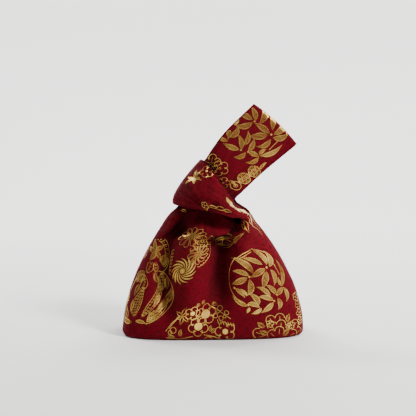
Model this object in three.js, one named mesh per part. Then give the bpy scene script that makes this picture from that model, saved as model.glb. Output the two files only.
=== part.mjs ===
// A small knot bag of printed cloth, tied for carrying on the wrist.
// Two panels, each with a lining, are cut like a vest: a wide body, a long handle on the left and a short one
// on the right. The long handle is drawn through the loop of the short one, which wraps it as a band.
// Millimetres, +Z up, the front towards -Y, the origin on the table at the middle of the base.
import * as THREE from 'three';

// Driving sizes, in millimetres and degrees
const base = { width: 210, depth: 82, edgeRadius: 4.5, squareness: 3.4, skew: 0.08 };
const cloth = { outer: 1.2, lining: 0.8, seam: 0.3 };
const mouth = { height: 111, squareness: 2.4 };
const knot = { height: 158, shift: -6, width: 58, depth: 32, tilt: 12, slack: 1.6 };
const longHandle = { length: 109, lean: 47.2, width: 66.5, endTilt: 42.5, gap: 19, endThickness: 6.4, bow: 4 };
const shortHandle = { flare: 16, lowerDrop: 15, upperRise: 33, bulge: 5 };
const tongue = { reach: 22, rise: 9, proud: 9 };
const lip = { x: 31, drop: 7, width: 14, height: 15, proud: 9 };
const pocket = { x: 15, drop: 5, width: 11, height: 10, proud: -5 };
const sideSlope = 1.85;
const depthSlope = 1.6;

// Steps of the meshes
const steps = { across: 24, edge: 2, floor: 2, wall: 9, handle: 13, band: 15, end: 2, lead: 12 };

const { lerp, smoothstep, degToRad } = THREE.MathUtils;
const halfSeam = cloth.seam / 2;
const knotHalf = knot.width / 2;
const knotFront = knot.depth / 2;
// Distance from the outer face of the gripped handle to the outer face of the band round it
const hug = cloth.outer + cloth.lining + 2 * cloth.seam + knot.slack;

// The knot's own frame: a runs across the gripped handle, v along it, and y is the distance in front
const knotAcross = new THREE.Vector3(Math.cos(degToRad(knot.tilt)), 0, -Math.sin(degToRad(knot.tilt)));
const knotUp = new THREE.Vector3(Math.sin(degToRad(knot.tilt)), 0, Math.cos(degToRad(knot.tilt)));
const knotCentre = new THREE.Vector3(knot.shift, 0, knot.height);

function inKnot(a, y, v) {
  const point = knotCentre.clone().addScaledVector(knotAcross, a).addScaledVector(knotUp, v);
  point.y = -Math.max(y, halfSeam);
  return point;
}

// The long handle beyond the knot, as a centre line with a width and a tilt
const handleEnd = knotCentre.clone().add(new THREE.Vector3(
  Math.cos(degToRad(longHandle.lean)), 0, Math.sin(degToRad(longHandle.lean)),
).multiplyScalar(longHandle.length));

function onHandle(along, side, y) {
  const tilt = degToRad(lerp(knot.tilt, longHandle.endTilt, smoothstep(along, 0, 0.65)));
  const half = lerp(knotHalf, longHandle.width / 2, smoothstep(along, 0.2, 1));
  const bow = 4 * longHandle.bow * along * (1 - along);
  const point = new THREE.Vector3().lerpVectors(knotCentre, handleEnd, along);
  point.x += side * half * Math.cos(tilt) - bow * Math.sin(degToRad(longHandle.lean));
  point.z += bow * Math.cos(degToRad(longHandle.lean)) - side * half * Math.sin(tilt);
  point.y = -y;
  return point;
}

// The body's outline: half its width, where its middle lies, and how far its front stands out, at a height
const bodyHalf = (z) => lerp(base.width / 2, knotHalf, (z / knot.height) ** sideSlope);
const bodyMiddle = (z) => knot.shift * (z / knot.height) ** 3;
const bodyFront = (z) => lerp(base.depth / 2, knotFront, (z / knot.height) ** depthSlope);
const bodySide = (side, z, y = halfSeam) => new THREE.Vector3(bodyMiddle(z) + side * bodyHalf(z), -y, z);

// Folds that run down the body from the knot. Place and width are shares of half the body's width, and the rise
// is a share of how far the body stands out, positive where the fold stands out of the cloth.
const frontFolds = [
  { top: -0.3, bottom: -0.24, width: 0.16, rise: 0.2 },
  { top: 0.15, bottom: -0.03, width: 0.14, rise: -0.44 },
  { top: -0.74, bottom: -0.42, width: 0.12, rise: -0.38 },
  { top: 0.62, bottom: 0.62, width: 0.22, rise: 0.08 },
];
const backFolds = [
  { top: -0.3, bottom: -0.1, width: 0.16, rise: 0.17 },
  { top: 0.08, bottom: 0.2, width: 0.14, rise: -0.28 },
  { top: -0.66, bottom: -0.6, width: 0.13, rise: -0.18 },
  { top: 0.6, bottom: 0.5, width: 0.16, rise: 0.12 },
];

const hump = (value, place, width) => Math.exp(-(((value - place) / width) ** 2));

function foldRise(folds, side, z) {
  const down = 1 - z / mouth.height;
  const strength = smoothstep(z, base.edgeRadius, mouth.height * 0.6) * bodyFront(z);
  return folds.reduce((sum, { top, bottom, width, rise }) => (
    sum + rise * strength * hump(side, lerp(top, bottom, down), width)
  ), 0);
}

// Right of the tongue the cloth swells out below the lip of the mouth, and sinks in beside it
const mouthRise = (x, z) => [lip, pocket].reduce((sum, form) => (
  sum + form.proud * hump(x, form.x, form.width) * hump(z, mouth.height - form.drop, form.height)
), 0);

// A point of the body: across it from -1 at the left seam to 1 at the right one, on a squared ellipse
function bodyPoint(side, z, folds) {
  const point = bodySide(side, z);
  if (Math.abs(side) === 1) return point;
  const squareness = lerp(base.squareness, mouth.squareness, z / mouth.height);
  const out = (1 - Math.abs(side) ** squareness) ** (1 / squareness);
  const relief = foldRise(folds, side, z) + mouthRise(point.x, z);
  point.y -= bodyFront(z) * (1 - base.skew * side) * out + relief * Math.min(1, out * 1.5);
  return point;
}

// Columns stand closer together towards the seams, where the cloth turns
const columnSides = Array.from({ length: steps.across + 1 }, (_, i) => {
  const even = 2 * i / steps.across - 1;
  return lerp(even, Math.sin(even * Math.PI / 2), 0.75);
});

const bodyRow = (z, folds) => columnSides.map((side) => bodyPoint(side, z, folds));

// The base: flat on the table from the middle seam out, then round its edge and up to the wall
function baseRows(folds) {
  const foot = bodyRow(base.edgeRadius, folds);
  const rows = [];
  for (let j = 0; j < steps.floor + steps.edge; j++) {
    const out = Math.min(1, j / steps.floor);
    const turn = Math.max(0, j - steps.floor) / steps.edge * Math.PI / 2;
    const inset = base.edgeRadius * (1 - Math.sin(turn));
    rows.push(foot.map((point) => {
      const shrink = 1 - inset / (base.width / 2);
      const y = (point.y + halfSeam) * (1 - inset / (base.depth / 2));
      return new THREE.Vector3(point.x * shrink, y * out - halfSeam, base.edgeRadius * (1 - Math.cos(turn)));
    }));
  }
  return rows;
}

function wallRows(folds) {
  const rows = [];
  for (let j = 0; j <= steps.wall; j++) {
    rows.push(bodyRow(lerp(base.edgeRadius, mouth.height, j / steps.wall), folds));
  }
  return rows;
}

// A row of points on the parabola through three, with folds laid on it towards the front. The places say where
// the columns stand between the two edges, from 0 to 1.
function keyRow([edge, middle, far], places, folds = []) {
  return places.map((w) => {
    const point = edge.clone().multiplyScalar((1 - w) * (1 - 2 * w))
      .addScaledVector(middle, 4 * w * (1 - w))
      .addScaledVector(far, w * (2 * w - 1));
    for (const { place, width, rise } of folds) point.y -= rise * hump(w, place, width);
    point.y = Math.min(point.y, -halfSeam);
    return point;
  });
}

// Rows drawn smoothly through the key rows, column by column. The first key row lies on the body below, so
// that the strip leaves the second one, where it starts, without a crease.
function loft(keyRows, count) {
  const curves = keyRows[0].map((_, i) => (
    new THREE.CatmullRomCurve3(keyRows.map((row) => row[i]), false, 'centripetal')
  ));
  const first = 1 / (keyRows.length - 1);
  const rows = [keyRows[1]];
  for (let j = 1; j <= count; j++) {
    rows.push(curves.map((curve) => {
      const point = curve.getPoint(lerp(first, 1, j / count));
      point.y = Math.min(point.y, -halfSeam);
      return point;
    }));
  }
  return rows;
}

// The left half of the body's top row, drawn up as the tongue and gripped by the knot, then on as the long handle
function longHandleRows(leadRow, startRow, shape) {
  const places = columnSides.slice(0, startRow.length).map((side) => side + 1);
  const start = startRow[startRow.length - 1];
  const half = longHandle.gap / 2;
  const endHalf = longHandle.endThickness / 2;
  const { reach, rise, proud } = tongue;
  // Beside the tongue a hollow runs up into the knot, and the cloth by the seam stays full
  const folded = (place, share, full) => [
    { place, width: 0.11, rise: -shape.hollow * share },
    { place: 0.13, width: 0.12, rise: proud * full },
  ];
  const rows = loft([
    leadRow,
    startRow,
    keyRow([
      bodySide(-1, mouth.height * 1.11),
      inKnot(-knotHalf * 0.35, knotFront + proud * 1.3, -knotHalf * 1.41),
      new THREE.Vector3(start.x + reach * 0.27, start.y - proud * 0.8, mouth.height + rise * 0.6),
    ], places, [...folded(0.3, 0.9, 0.5), { place: 0.74, width: 0.3, rise: proud * 0.17 }]),
    keyRow([
      bodySide(-1, mouth.height * 1.22),
      inKnot(-knotHalf * 0.2, knotFront + proud * 1.65, -knotHalf * 1.14),
      new THREE.Vector3(start.x + reach * 0.9, start.y - proud * 0.4, mouth.height + rise),
    ], places, folded(0.29, 1, 0.44)),
    keyRow([
      inKnot(-knotHalf * 1.05, knotFront * 0.25, -knotHalf * 0.52),
      inKnot(-knotHalf * 0.07, knotFront + proud * 0.6, -knotHalf * 0.62),
      inKnot(knotHalf * 1.2, knotFront, -knotHalf * 0.48),
    ], places, folded(0.24, 0.6, 0.22)),
    keyRow([
      inKnot(-knotHalf, knotFront * 0.31, knotHalf * 0.1),
      inKnot(0, knotFront, 0),
      inKnot(knotHalf, knotFront * 0.62, 0),
    ], places),
    keyRow([
      inKnot(-knotHalf * 0.55, knotFront * 0.37, knotHalf * 1.03),
      inKnot(knotHalf * 0.33, knotFront * 0.75, knotHalf * 0.83),
      inKnot(knotHalf * 1.31, knotFront * 0.56, knotHalf * 0.52),
    ], places),
    keyRow([onHandle(0.6, -1, half * 0.8), onHandle(0.6, 0, half), onHandle(0.6, 1, half * 0.8)], places),
    keyRow([onHandle(1, -1, endHalf), onHandle(1, 0, endHalf), onHandle(1, 1, endHalf)], places),
  ], steps.handle);
  // The end of the loop turns in to the seam between the front and the back
  const endRow = rows[rows.length - 1];
  const along = handleEnd.clone().sub(knotCentre).normalize();
  for (let j = 1; j <= steps.end; j++) {
    const turn = j / steps.end * Math.PI / 2;
    rows.push(endRow.map((point) => {
      const radius = -point.y - halfSeam;
      const turned = point.clone().addScaledVector(along, radius * Math.sin(turn));
      turned.y = -halfSeam - radius * Math.cos(turn);
      return turned;
    }));
  }
  return rows;
}

// The right half of the body's top row, over the shoulder as the short handle and left across the knot
function bandRows(leadRow, startRow, shape) {
  const places = columnSides.slice(-startRow.length);
  const start = startRow[0];
  const sideways = knotHalf + hug;
  const out = knotFront + hug;
  const { lowerDrop, upperRise, flare, bulge } = shortHandle;
  return loft([
    leadRow,
    startRow,
    keyRow([
      new THREE.Vector3(start.x + tongue.reach * 0.27, start.y + shape.tuck, mouth.height + tongue.rise),
      inKnot(knotHalf * 1.66, out * 1.4, -knotHalf * 1.07),
      bodySide(1, mouth.height * 1.09, knotFront * 0.19),
    ], places, [{ place: 0.18, width: 0.15, rise: -shape.tuck * 0.6 }]),
    keyRow([
      inKnot(sideways * 1.06, out * 0.88, -lowerDrop * 1.87),
      inKnot(knotHalf * 1.7, out * 1.5, -knotHalf * 0.76),
      bodySide(1, mouth.height * 1.18, knotFront * 0.37),
    ], places),
    keyRow([
      inKnot(knotHalf * 1.42, out * 1.4, -lowerDrop * 1.13),
      inKnot(knotHalf * 1.7, out * 1.35, -knotHalf * 0.41),
      bodySide(1, mouth.height * 1.27, knotFront * 0.62),
    ], places),
    keyRow([
      inKnot(sideways * 0.91, out + flare, -lowerDrop * 1.2),
      inKnot(sideways * 0.94, out + flare * 0.7 + bulge, -lowerDrop * 0.33),
      inKnot(sideways, knotFront * 0.87, 0),
    ], places),
    keyRow([
      inKnot(knotHalf * 0.25, out + flare, -lowerDrop * 0.93),
      inKnot(knotHalf * 0.22, out + flare * 0.5 + bulge, lowerDrop * 0.33),
      inKnot(knotHalf * 0.5, out * 0.95, upperRise * 0.5),
    ], places),
    keyRow([
      inKnot(-knotHalf * 0.55, out + flare * 0.5, -lowerDrop),
      inKnot(-knotHalf * 0.55, out + flare * 0.2 + bulge, lowerDrop * 0.53),
      inKnot(-knotHalf * 0.28, out * 0.85, upperRise),
    ], places),
    keyRow([
      inKnot(-sideways * 1.06, out * 0.6, -lowerDrop * 1.07),
      inKnot(-sideways * 0.97, out * 0.6, lowerDrop * 0.33),
      inKnot(-knotHalf * 0.62, out * 0.45, upperRise * 1.03),
    ], places),
    keyRow([
      inKnot(-sideways * 1.14, 0, -lowerDrop * 1.07),
      inKnot(-sideways * 1.06, 0, lowerDrop * 0.27),
      inKnot(-knotHalf * 0.75, 0, upperRise),
    ], places),
  ], steps.band);
}

// One panel as a single sheet: the base and wall, then the two handles on either side of the neckline
function panelSheet(folds, shape) {
  const wall = wallRows(folds);
  const top = wall[wall.length - 1];
  const lead = bodyRow(mouth.height - steps.lead, folds);
  const centre = steps.across / 2;
  return weld([
    [...baseRows(folds), ...wall],
    longHandleRows(lead.slice(0, centre + 1), top.slice(0, centre + 1), shape),
    bandRows(lead.slice(centre), top.slice(centre), shape),
  ]);
}

// Joins grids of points into one sheet of triangles, with points that coincide made one
function weld(grids) {
  const points = [];
  const known = new Map();
  const triangles = [];
  const indexOf = (point) => {
    const key = point.toArray().map((value) => Math.round(value * 1000)).join();
    if (!known.has(key)) known.set(key, points.push(point) - 1);
    return known.get(key);
  };
  const face = (...corners) => {
    if (new Set(corners).size === 3) triangles.push(corners);
  };
  for (const rows of grids) {
    const grid = rows.map((row) => row.map(indexOf));
    for (let j = 1; j < grid.length; j++) {
      for (let i = 1; i < grid[j].length; i++) {
        face(grid[j - 1][i - 1], grid[j - 1][i], grid[j][i]);
        face(grid[j - 1][i - 1], grid[j][i], grid[j][i - 1]);
      }
    }
  }
  return { points, triangles };
}

function sheetNormals({ points, triangles }) {
  const normals = points.map(() => new THREE.Vector3());
  for (const [a, b, c] of triangles) {
    const normal = points[b].clone().sub(points[a]).cross(points[c].clone().sub(points[a]));
    for (const corner of [a, b, c]) normals[corner].add(normal);
  }
  return normals.map((normal) => normal.normalize());
}

// Gives a sheet its thickness, from one depth under its face to another, and closes it along every open edge.
// No point crosses the plane of the seam between the front and the back.
function thicken(sheet, near, far) {
  const normals = sheetNormals(sheet);
  const layer = (depth) => sheet.points.map((point, i) => {
    const moved = point.clone().addScaledVector(normals[i], -depth);
    moved.y = Math.min(moved.y, -halfSeam);
    return moved;
  });
  const vertices = [...layer(near), ...layer(far)];
  const under = sheet.points.length;
  const faces = [];
  const open = new Map();
  for (const [a, b, c] of sheet.triangles) {
    faces.push([a, b, c], [a + under, c + under, b + under]);
    for (const [from, to] of [[a, b], [b, c], [c, a]]) {
      if (!open.delete(`${to},${from}`)) open.set(`${from},${to}`, [from, to]);
    }
  }
  for (const [from, to] of open.values()) {
    faces.push([to, from, from + under], [to, from + under, to + under]);
  }
  return { vertices, faces };
}

function geometryOf({ vertices, faces }, mirrored) {
  const side = mirrored ? -1 : 1;
  const geometry = new THREE.BufferGeometry();
  const positions = vertices.flatMap((point) => [point.x, point.y * side, point.z]);
  geometry.setAttribute('position', new THREE.Float32BufferAttribute(positions, 3));
  geometry.setIndex(faces.flatMap(([a, b, c]) => (mirrored ? [a, c, b] : [a, b, c])));
  geometry.computeVertexNormals();
  return geometry;
}

const printedCloth = new THREE.MeshStandardMaterial({ color: 0x7a0c1e, roughness: 0.85, metalness: 0 });
const liningCloth = new THREE.MeshStandardMaterial({ color: 0x5c0a18, roughness: 0.9, metalness: 0 });

function piece(name, solid, mirrored, material) {
  const mesh = new THREE.Mesh(geometryOf(solid, mirrored), material);
  mesh.name = name;
  return mesh;
}

const liningDepth = cloth.outer + cloth.seam;
const bag = new THREE.Group();
for (const [side, folds, shape, mirrored] of [
  ['front', frontFolds, { hollow: 12, tuck: 7 }, false],
  ['back', backFolds, { hollow: 9, tuck: 5 }, true],
]) {
  const sheet = panelSheet(folds, shape);
  bag.add(piece(`${side}_panel`, thicken(sheet, 0, cloth.outer), mirrored, printedCloth));
  const lining = thicken(sheet, liningDepth, liningDepth + cloth.lining);
  bag.add(piece(`${side}_lining`, lining, mirrored, liningCloth));
}

export default bag;
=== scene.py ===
"""Looks of a small knot bag of dark red cotton with a gold foil print.

The cloth of both panels is drawn from the same sizes as the frame, on a finer grid, with its
wrinkles, and the print is laid on it as thin gold shapes. Metres, +Z up, the front towards -Y.
"""
import math

import bmesh
import bpy
import numpy as np
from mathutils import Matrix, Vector, noise


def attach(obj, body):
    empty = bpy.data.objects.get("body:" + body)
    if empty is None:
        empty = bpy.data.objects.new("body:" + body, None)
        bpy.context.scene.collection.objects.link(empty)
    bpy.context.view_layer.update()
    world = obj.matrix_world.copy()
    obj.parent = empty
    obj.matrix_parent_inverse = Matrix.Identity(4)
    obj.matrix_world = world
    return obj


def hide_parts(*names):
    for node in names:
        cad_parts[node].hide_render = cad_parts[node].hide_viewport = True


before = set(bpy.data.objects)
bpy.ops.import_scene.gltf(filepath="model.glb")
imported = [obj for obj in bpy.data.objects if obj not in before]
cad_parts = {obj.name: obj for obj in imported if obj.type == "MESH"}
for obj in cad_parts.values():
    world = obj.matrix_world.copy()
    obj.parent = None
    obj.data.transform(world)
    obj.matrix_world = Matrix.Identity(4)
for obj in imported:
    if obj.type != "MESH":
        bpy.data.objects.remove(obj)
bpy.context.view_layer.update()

# Driving sizes, in metres and degrees. They are the frame's own, apart from the back's tongue, the
# bow of the handle's end and the band's hang, where the soft cloth departs a little from it.
BASE_WIDTH, BASE_DEPTH, BASE_EDGE = 0.210, 0.082, 0.0045
BASE_SQUARENESS, MOUTH_SQUARENESS, BASE_SKEW = 3.4, 2.4, 0.08
OUTER_CLOTH, LINING_CLOTH, SEAM = 0.0012, 0.0008, 0.0003
MOUTH_HEIGHT = 0.111
KNOT_HEIGHT, KNOT_SHIFT, KNOT_WIDTH, KNOT_DEPTH, KNOT_TILT = 0.158, -0.006, 0.058, 0.032, 12.0
KNOT_SLACK = 0.0016
HANDLE_LENGTH, HANDLE_LEAN, HANDLE_WIDTH, HANDLE_END_TILT = 0.109, 47.2, 0.0665, 42.5
HANDLE_GAP, HANDLE_END, HANDLE_BOW, HANDLE_END_BOW = 0.019, 0.0064, 0.004, 0.0028
BAND_FLARE, BAND_DROP, BAND_RISE, BAND_BULGE = 0.016, 0.015, 0.033, 0.005
TONGUE_REACH, BACK_TONGUE_REACH, TONGUE_RISE, TONGUE_PROUD = 0.022, 0.029, 0.009, 0.009
LIP_X, LIP_DROP, LIP_WIDTH, LIP_HEIGHT, LIP_PROUD = 0.031, 0.007, 0.014, 0.015, 0.009
POCKET_X, POCKET_DROP, POCKET_WIDTH, POCKET_HEIGHT, POCKET_DEPTH = 0.015, 0.005, 0.011, 0.010, 0.005
SIDE_SLOPE, DEPTH_SLOPE = 1.85, 1.6
# How far the band's lower edge hangs at the shoulder, at the corner and in the middle, as shares
# of BAND_DROP
FRONT_HANG, BACK_HANG = (1.0, 0.93, 0.78), (1.55, 1.35, 0.93)
# The fold beside the tongue, how far the shoulder tucks in at the mouth, and where the wrinkles
# start in the noise
FRONT_HOLLOW, BACK_HOLLOW = 0.012, 0.009
FRONT_TUCK, BACK_TUCK = 0.007, 0.005
FRONT_SEED, BACK_SEED = 1.0, 5.0
# How far the wrinkles rise: long and fine creases from the knot, a broad and a small crumple, and
# fine and broad creases along the handles
CREASE_RISE, FINE_CREASE_RISE = 0.0016, 0.0007
CRUMPLE_RISE, SMALL_CRUMPLE_RISE = 0.0011, 0.00035
STRIP_FINE_RISE, STRIP_BROAD_RISE = 0.0009, 0.0014

# Steps of the cloth's grids
ACROSS, FLOOR_ROWS, EDGE_ROWS, WALL_ROWS = 144, 6, 5, 72
HANDLE_ROWS, BAND_ROWS, END_ROWS = 96, 96, 5
LEAD = 0.012

# The photograph's view
IMAGE_SIZE = 416
CAMERA_AIM = Vector((-0.0057, 0, 0.1443))
CAMERA_DISTANCE = 0.9
CAMERA_ELEVATION = math.radians(8)
LENS, SENSOR = 68, 36

# Sewn edges meet here, closer than the frame's solids may
HALF_SEAM = 0.00001
KNOT_HALF = KNOT_WIDTH / 2
KNOT_FRONT = KNOT_DEPTH / 2
HUG = OUTER_CLOTH + LINING_CLOTH + 2 * SEAM + KNOT_SLACK


def lerp(a, b, t):
    return a + (b - a) * t


def smoothstep(value, low, high):
    t = min(1.0, max(0.0, (value - low) / (high - low)))
    return t * t * (3 - 2 * t)


def hump(value, place, width):
    return np.exp(-(((value - place) / width) ** 2))


# The knot's own frame: a runs across the gripped handle, v along it, and y is the distance in front
knot_tilt = math.radians(KNOT_TILT)
knot_across = np.array((math.cos(knot_tilt), 0, -math.sin(knot_tilt)))
knot_up = np.array((math.sin(knot_tilt), 0, math.cos(knot_tilt)))
knot_centre = np.array((KNOT_SHIFT, 0, KNOT_HEIGHT))
handle_lean = math.radians(HANDLE_LEAN)
handle_along = np.array((math.cos(handle_lean), 0, math.sin(handle_lean)))
handle_end = knot_centre + handle_along * HANDLE_LENGTH


def in_knot(a, y, v):
    point = knot_centre + knot_across * a + knot_up * v
    point[1] = -max(y, HALF_SEAM)
    return point


def on_handle(along, side, y):
    tilt = math.radians(lerp(KNOT_TILT, HANDLE_END_TILT, smoothstep(along, 0, 0.65)))
    half = lerp(KNOT_HALF, HANDLE_WIDTH / 2, smoothstep(along, 0.2, 1))
    bow = 4 * HANDLE_BOW * along * (1 - along)
    point = lerp(knot_centre, handle_end, along)
    point[0] += side * half * math.cos(tilt) - bow * math.sin(handle_lean)
    point[2] += bow * math.cos(handle_lean) - side * half * math.sin(tilt)
    point[1] = -y
    return point


def body_half(z):
    return lerp(BASE_WIDTH / 2, KNOT_HALF, (z / KNOT_HEIGHT) ** SIDE_SLOPE)


def body_middle(z):
    return KNOT_SHIFT * (z / KNOT_HEIGHT) ** 3


def body_front(z):
    return lerp(BASE_DEPTH / 2, KNOT_FRONT, (z / KNOT_HEIGHT) ** DEPTH_SLOPE)


def body_side(side, z, y=HALF_SEAM):
    return np.array((body_middle(z) + side * body_half(z), -y, z))


# Folds down the body: place at the top and at the bottom and width, as shares of half its width,
# and rise, as a share of how far it stands out
FRONT_FOLDS = (
    (-0.3, -0.24, 0.16, 0.2),
    (0.15, -0.03, 0.14, -0.44),
    (-0.74, -0.42, 0.12, -0.38),
    (0.62, 0.62, 0.22, 0.08),
)
BACK_FOLDS = (
    (-0.3, -0.1, 0.16, 0.17),
    (0.08, 0.2, 0.14, -0.28),
    (-0.66, -0.6, 0.13, -0.18),
    (0.6, 0.5, 0.16, 0.12),
)


def body_point(side, z, folds):
    """A point of the body, from -1 at the left seam to 1 at the right one."""
    point = body_side(side, z)
    if abs(side) >= 1:
        return point
    squareness = lerp(BASE_SQUARENESS, MOUTH_SQUARENESS, z / MOUTH_HEIGHT)
    out = (1 - abs(side) ** squareness) ** (1 / squareness)
    down = 1 - z / MOUTH_HEIGHT
    strength = smoothstep(z, BASE_EDGE, MOUTH_HEIGHT * 0.6) * body_front(z)
    pocket = hump(z, MOUTH_HEIGHT - POCKET_DROP, POCKET_HEIGHT)
    lip = hump(z, MOUTH_HEIGHT - LIP_DROP, LIP_HEIGHT)
    relief = -POCKET_DEPTH * hump(point[0], POCKET_X, POCKET_WIDTH) * pocket
    relief += LIP_PROUD * hump(point[0], LIP_X, LIP_WIDTH) * lip
    for top, bottom, width, rise in folds:
        relief += rise * strength * hump(side, lerp(top, bottom, down), width)
    point[1] -= body_front(z) * (1 - BASE_SKEW * side) * out + relief * min(1, out * 1.5)
    return point


even_sides = np.linspace(-1, 1, ACROSS + 1)
column_sides = lerp(even_sides, np.sin(even_sides * math.pi / 2), 0.75)


def body_row(z, folds):
    return np.array([body_point(side, z, folds) for side in column_sides])


def base_rows(folds):
    """The base, flat from the middle seam out, then round its edge and up to the wall."""
    foot = body_row(BASE_EDGE, folds)
    rows = []
    for j in range(FLOOR_ROWS + EDGE_ROWS):
        out = min(1, j / FLOOR_ROWS)
        turn = max(0, j - FLOOR_ROWS) / EDGE_ROWS * math.pi / 2
        inset = BASE_EDGE * (1 - math.sin(turn))
        row = foot.copy()
        row[:, 0] *= 1 - inset / (BASE_WIDTH / 2)
        row[:, 1] = (foot[:, 1] + HALF_SEAM) * (1 - inset / (BASE_DEPTH / 2)) * out - HALF_SEAM
        row[:, 2] = BASE_EDGE * (1 - math.cos(turn))
        rows.append(row)
    return rows


def key_row(points, places, folds=()):
    """Points on the parabola through three, with folds (place, width, rise) laid on it."""
    edge, middle, far = points
    w = places[:, None]
    row = edge * (1 - w) * (1 - 2 * w) + middle * 4 * w * (1 - w) + far * w * (2 * w - 1)
    for place, width, rise in folds:
        row[:, 1] -= rise * hump(places, place, width)
    row[:, 1] = np.minimum(row[:, 1], -HALF_SEAM)
    return row


def loft(key_rows, count):
    """Rows drawn through the key rows by centripetal Catmull-Rom curves, column by column."""
    keys = [2 * key_rows[0] - key_rows[1], *key_rows, 2 * key_rows[-1] - key_rows[-2]]
    spans = len(key_rows) - 1
    rows = [key_rows[1]]
    for j in range(1, count + 1):
        place = lerp(1, spans, j / count)
        index = min(int(place), spans - 1)
        t = place - index
        p0, p1, p2, p3 = keys[index:index + 4]
        d0, d1, d2 = (
            np.maximum(np.linalg.norm(b - a, axis=1, keepdims=True) ** 0.5, 1e-4)
            for a, b in ((p0, p1), (p1, p2), (p2, p3))
        )
        m1 = ((p1 - p0) / d0 - (p2 - p0) / (d0 + d1) + (p2 - p1) / d1) * d1
        m2 = ((p2 - p1) / d1 - (p3 - p1) / (d1 + d2) + (p3 - p2) / d2) * d1
        row = (
            p1 + m1 * t + (3 * (p2 - p1) - 2 * m1 - m2) * t ** 2
            + (2 * (p1 - p2) + m1 + m2) * t ** 3
        )
        row[:, 1] = np.minimum(row[:, 1], -HALF_SEAM)
        rows.append(row)
    return rows


def long_handle_rows(lead_row, start_row, hollow, reach):
    """The left half drawn up as the tongue and gripped by the knot, then on as the long handle."""
    places = column_sides[:len(start_row)] + 1
    start = start_row[-1]
    half = HANDLE_GAP / 2
    end_half = HANDLE_END / 2

    def folded(place, share, full):
        return [(place, 0.11, -hollow * share), (0.13, 0.12, TONGUE_PROUD * full)]

    rows = loft([
        lead_row,
        start_row,
        key_row((
            body_side(-1, MOUTH_HEIGHT * 1.11),
            in_knot(-KNOT_HALF * 0.35, KNOT_FRONT + TONGUE_PROUD * 1.3, -KNOT_HALF * 1.41),
            start + (reach * 0.27, -TONGUE_PROUD * 0.8, TONGUE_RISE * 0.6),
        ), places, [*folded(0.3, 0.9, 0.5), (0.74, 0.3, TONGUE_PROUD * 0.17)]),
        key_row((
            body_side(-1, MOUTH_HEIGHT * 1.22),
            in_knot(-KNOT_HALF * 0.2, KNOT_FRONT + TONGUE_PROUD * 1.65, -KNOT_HALF * 1.14),
            start + (reach * 0.9, -TONGUE_PROUD * 0.4, TONGUE_RISE),
        ), places, folded(0.29, 1, 0.44)),
        key_row((
            in_knot(-KNOT_HALF * 1.05, KNOT_FRONT * 0.25, -KNOT_HALF * 0.52),
            in_knot(-KNOT_HALF * 0.07, KNOT_FRONT + TONGUE_PROUD * 0.6, -KNOT_HALF * 0.62),
            in_knot(KNOT_HALF * 1.2, KNOT_FRONT, -KNOT_HALF * 0.48),
        ), places, folded(0.24, 0.6, 0.22)),
        key_row((
            in_knot(-KNOT_HALF, KNOT_FRONT * 0.31, KNOT_HALF * 0.1),
            in_knot(0, KNOT_FRONT, 0),
            in_knot(KNOT_HALF, KNOT_FRONT * 0.62, 0),
        ), places),
        key_row((
            in_knot(-KNOT_HALF * 0.55, KNOT_FRONT * 0.37, KNOT_HALF * 1.03),
            in_knot(KNOT_HALF * 0.33, KNOT_FRONT * 0.75, KNOT_HALF * 0.83),
            in_knot(KNOT_HALF * 1.31, KNOT_FRONT * 0.56, KNOT_HALF * 0.52),
        ), places),
        key_row((
            on_handle(0.6, -1, half * 0.8),
            on_handle(0.6, 0, half),
            on_handle(0.6, 1, half * 0.8),
        ), places),
        key_row((
            on_handle(1, -1, end_half),
            on_handle(1, 0, end_half) + handle_along * HANDLE_END_BOW,
            on_handle(1, 1, end_half),
        ), places),
    ], HANDLE_ROWS)
    end_row = rows[-1]
    for j in range(1, END_ROWS + 1):
        turn = j / END_ROWS * math.pi / 2
        radius = -end_row[:, 1:2] - HALF_SEAM
        row = end_row + handle_along * radius * math.sin(turn)
        row[:, 1] = (-HALF_SEAM - radius * math.cos(turn))[:, 0]
        rows.append(row)
    return rows


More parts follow.
